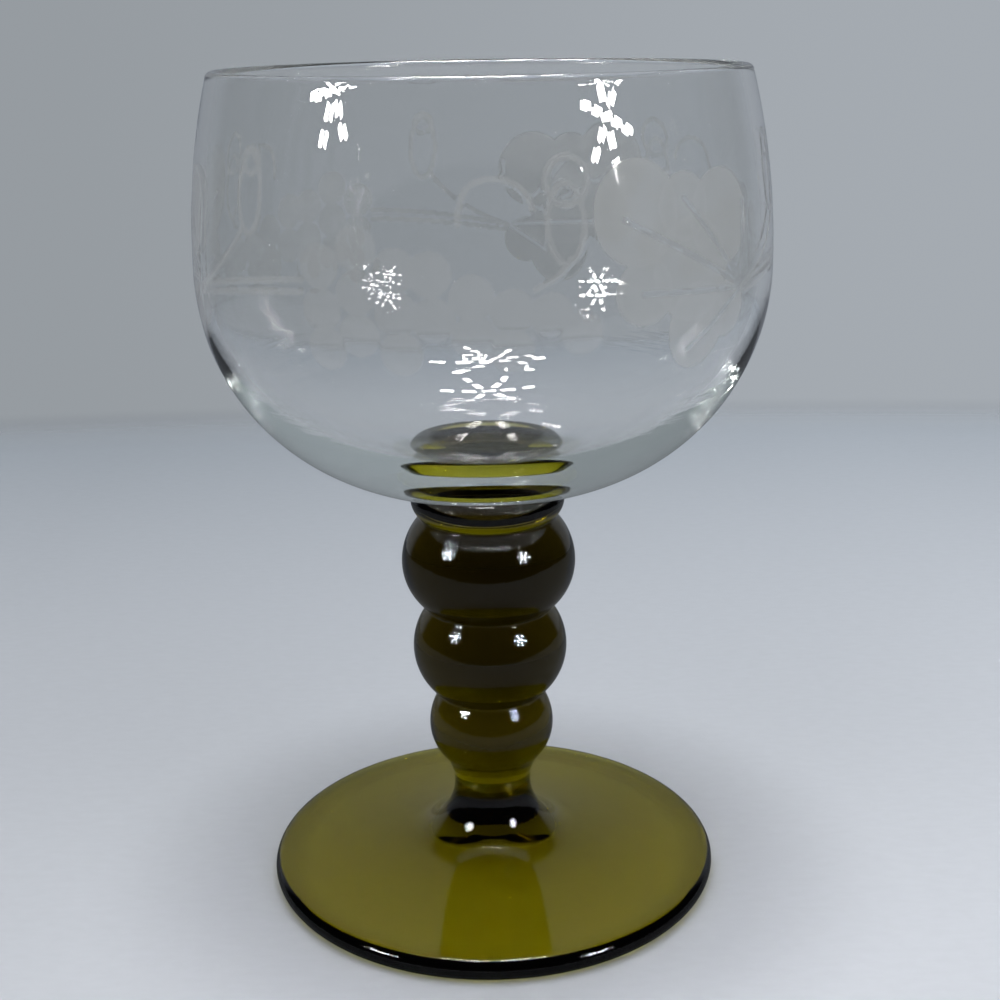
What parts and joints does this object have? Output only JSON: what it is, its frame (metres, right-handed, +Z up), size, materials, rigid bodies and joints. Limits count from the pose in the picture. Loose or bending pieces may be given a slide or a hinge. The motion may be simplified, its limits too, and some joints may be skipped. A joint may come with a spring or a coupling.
{
  "type": "roemer wine glass",
  "caption": "Roemer wine glass: clear rounded bowl with frosted vine engraving, on an olive-green stem of graded knops with a collar and a broad round foot.",
  "frame": {"origin": "on the glass's axis, in the plane that the foot rests on", "axes": "+Z up along the glass's axis, from the foot to the rim; -Y towards the viewer of the picture, +X to the viewer's right"},
  "size_m": [0.0844, 0.0844, 0.1272],
  "materials": {
    "clear_glass": "clear blown glass, fire-polished, with frosted wheel engraving",
    "olive_glass": "olive-green glass coloured through, fire-polished"
  },
  "bodies": {
    "root": {"bowl": "clear_glass", "collar": "olive_glass", "upper_knop": "olive_glass", "middle_knop": "olive_glass", "lower_knop": "olive_glass", "foot": "olive_glass"}
  },
  "joints": []
}
